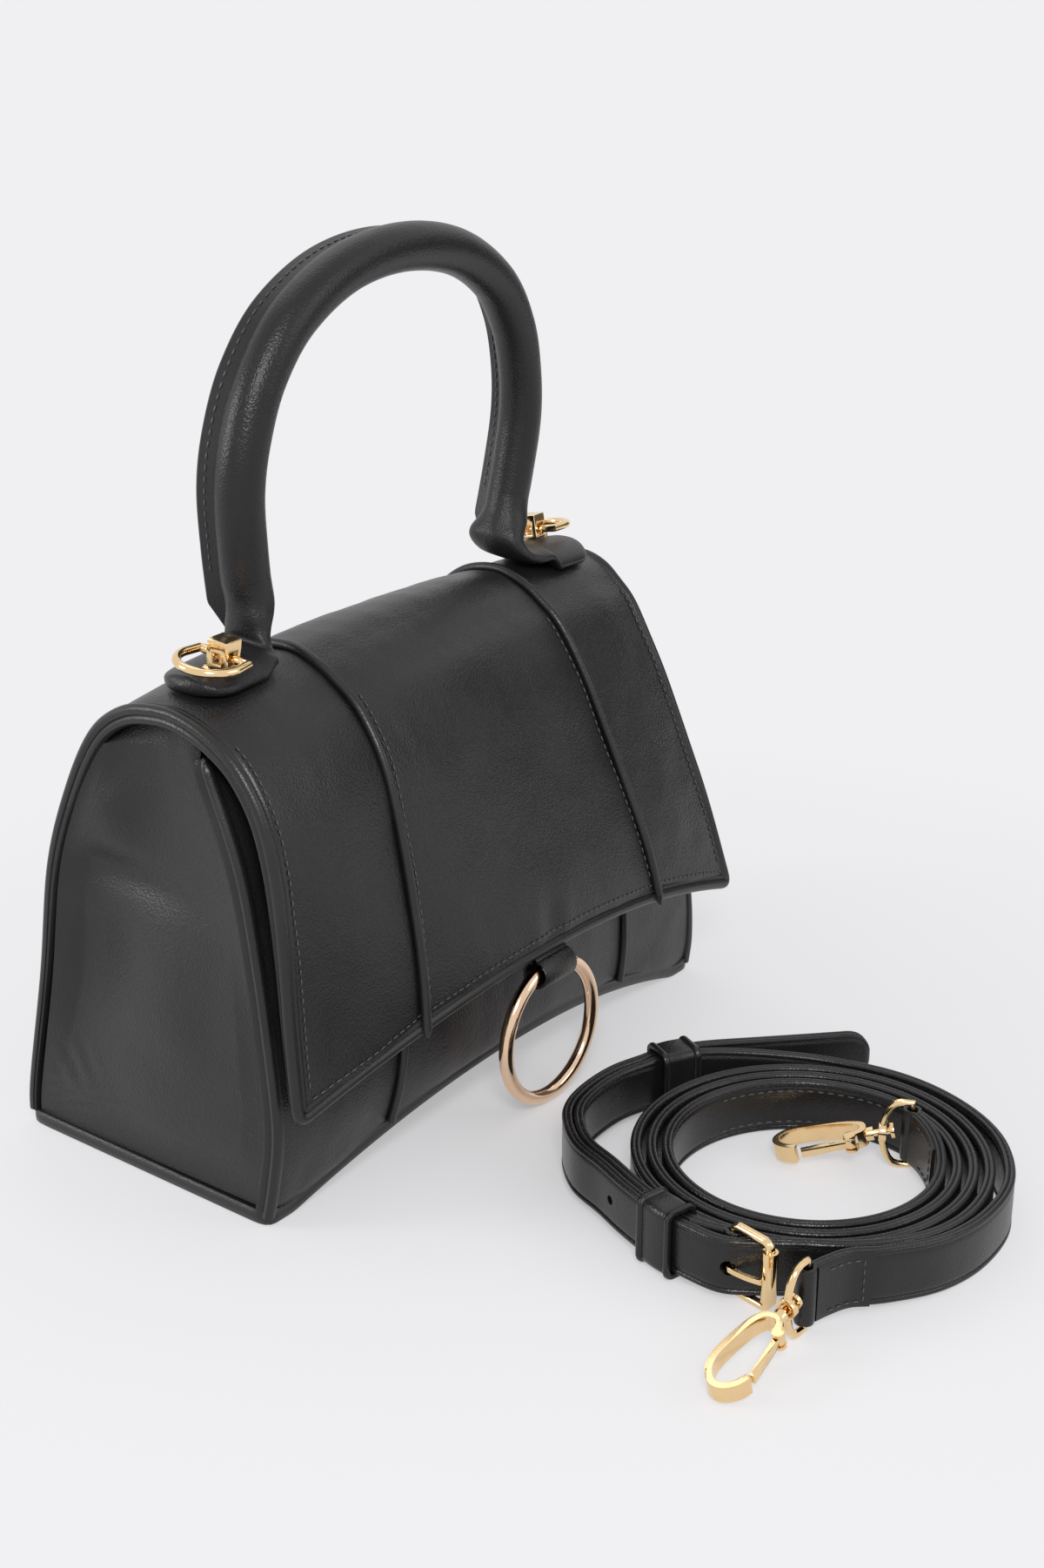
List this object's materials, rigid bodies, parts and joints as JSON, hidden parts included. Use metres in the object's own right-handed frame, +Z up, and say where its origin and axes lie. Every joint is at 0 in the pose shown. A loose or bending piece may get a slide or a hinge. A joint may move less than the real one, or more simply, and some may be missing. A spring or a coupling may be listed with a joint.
{
  "type": "handbag",
  "caption": "Structured leather handbag with an arched base, a stiff looped top handle, a flap with a ring pull, and a detached shoulder strap with snap hooks lying coiled beside it.",
  "frame": {"origin": "middle of the underside of the bounding box of the bag and the strap lying in front of it, on the ground", "axes": "+Z up, +X along the bag's width to the viewer's right, -Y towards the front, where the flap faces and the strap lies"},
  "size_m": [0.24, 0.3, 0.2936],
  "materials": {
    "black_leather": "smooth, fine grain, low sheen",
    "black_edge": "smooth, folded and painted edge",
    "lining_cloth": "matt woven cloth",
    "fibre_board": "raw pressed fibre",
    "handle_cord": "matt",
    "rose_gold": "polished plating",
    "pale_gold": "polished plating",
    "magnet_steel": "plain"
  },
  "bodies": {
    "bag": {"back_panel_centre": "black_leather", "back_panel_left": "black_leather", "back_panel_right": "black_leather", "back_piping_left": "black_edge", "back_piping_right": "black_edge", "back_seam_cord_left": "black_edge", "back_seam_cord_right": "black_edge", "base_board": "fibre_board", "base_panel": "black_leather", "base_piping": "black_edge", "buckle_frame": "pale_gold", "front_panel_centre": "black_leather", "front_panel_left": "black_leather", "front_panel_right": "black_leather", "front_piping_left": "black_edge", "front_piping_right": "black_edge", "front_seam_cord_left": "black_edge", "front_seam_cord_right": "black_edge", "gusset_left": "black_leather", "gusset_right": "black_leather", "handle_tab_left": "black_leather", "handle_tab_right": "black_leather", "keeper_fixed": "black_leather", "lining_body": "lining_cloth", "lining_left": "lining_cloth", "lining_right": "lining_cloth", "post_left": "pale_gold", "post_right": "pale_gold", "rivet_left": "pale_gold", "rivet_right": "pale_gold", "snap_socket": "magnet_steel", "strap_long": "black_leather", "strap_short": "black_leather"},
    "flap": {"flap_panel_centre": "black_leather", "flap_panel_left": "black_leather", "flap_panel_right": "black_leather", "flap_seam_cord_left": "black_edge", "flap_seam_cord_right": "black_edge", "flap_edge_piping": "black_edge", "flap_lining": "lining_cloth", "ring_loop": "black_leather", "snap_stud": "magnet_steel"},
    "ring": {"ring": "rose_gold"},
    "dring_left": {"dring_left": "pale_gold"},
    "dring_right": {"dring_right": "pale_gold"},
    "handle": {"handle_cover": "black_leather", "handle_core": "handle_cord", "handle_welt": "black_leather"},
    "roller": {"buckle_roller": "pale_gold"},
    "prong": {"buckle_prong": "pale_gold"},
    "keeper": {"keeper_sliding": "black_leather"},
    "near_loop": {"hook_near_loop": "pale_gold"},
    "near_hook": {"hook_near_body": "pale_gold"},
    "near_gate": {"hook_near_gate": "pale_gold"},
    "far_loop": {"hook_far_loop": "pale_gold"},
    "far_hook": {"hook_far_body": "pale_gold"},
    "far_gate": {"hook_far_gate": "pale_gold"}
  },
  "joints": [
    {"name": "flap_hinge", "type": "hinge", "parent": "bag", "child": "flap", "pos_m": [0, 0.06069, 0.15989], "axis": [-0.9952, -0.0952, 0.0204], "range_deg": [0, 120]},
    {"name": "ring_swing", "type": "hinge", "parent": "flap", "child": "ring", "pos_m": [0, 0.01687, 0.05115], "axis": [-1, 0, 0], "range_deg": [-6, 25]},
    {"name": "dring_left_swing", "type": "hinge", "parent": "bag", "child": "dring_left", "pos_m": [-0.0955, 0.06845, 0.17496], "axis": [-0.081, 0.9878, 0.133], "range_deg": [0, 130]},
    {"name": "dring_right_swing", "type": "hinge", "parent": "bag", "child": "dring_right", "pos_m": [0.0955, 0.09734, 0.17347], "axis": [0.1164, -0.9809, 0.1559], "range_deg": [0, 130]},
    {"name": "handle_tilt", "type": "hinge", "parent": "bag", "child": "handle", "pos_m": [0, 0.08693, 0.18024], "axis": [0.9969, 0.079, -0.0058], "range_deg": [-20, 20], "stiffness_Nm_per_rad": 0.8},
    {"name": "roller_spin", "type": "hinge", "parent": "bag", "child": "roller", "pos_m": [-0.06307, -0.10978, 0.01225], "axis": [0, 0, 1], "continuous": true},
    {"name": "prong_swing", "type": "hinge", "parent": "bag", "child": "prong", "pos_m": [-0.06038, -0.09594, 0.01225], "axis": [0, 0, -1], "range_deg": [0, 8]},
    {"name": "keeper_slide", "type": "slide", "parent": "bag", "child": "keeper", "axis": [-0.8838, 0.4679, 0], "range_m": [-0.004, 0.004]},
    {"name": "near_loop_swing", "type": "hinge", "parent": "bag", "child": "near_loop", "pos_m": [-0.06515, -0.12294, 0.01276], "axis": [0, 0, 1], "range_deg": [-30, 30]},
    {"name": "near_swivel", "type": "hinge", "parent": "near_loop", "child": "near_hook", "pos_m": [-0.07434, -0.12246, 0.01276], "axis": [-0.9673, 0.0507, -0.2487], "continuous": true},
    {"name": "near_gate_hinge", "type": "hinge", "parent": "near_hook", "child": "near_gate", "pos_m": [-0.08465, -0.12602, 0.01016], "axis": [0.2483, -0.013, -0.9686], "range_deg": [0, 22], "stiffness_Nm_per_rad": 0.02, "springref_deg": -17.19},
    {"name": "far_loop_swing", "type": "hinge", "parent": "bag", "child": "far_loop", "pos_m": [0.03489, -0.1042, 0.01276], "axis": [0, 0, 1], "range_deg": [-10, 10]},
    {"name": "far_swivel", "type": "hinge", "parent": "far_loop", "child": "far_hook", "pos_m": [0.03042, -0.09616, 0.01276], "axis": [-0.4696, 0.8471, -0.2487], "continuous": true},
    {"name": "far_gate_hinge", "type": "hinge", "parent": "far_hook", "child": "far_gate", "pos_m": [0.02194, -0.0893, 0.01016], "axis": [0.1206, -0.2175, -0.9686], "range_deg": [0, 22], "stiffness_Nm_per_rad": 0.02, "springref_deg": -17.19}
  ]
}
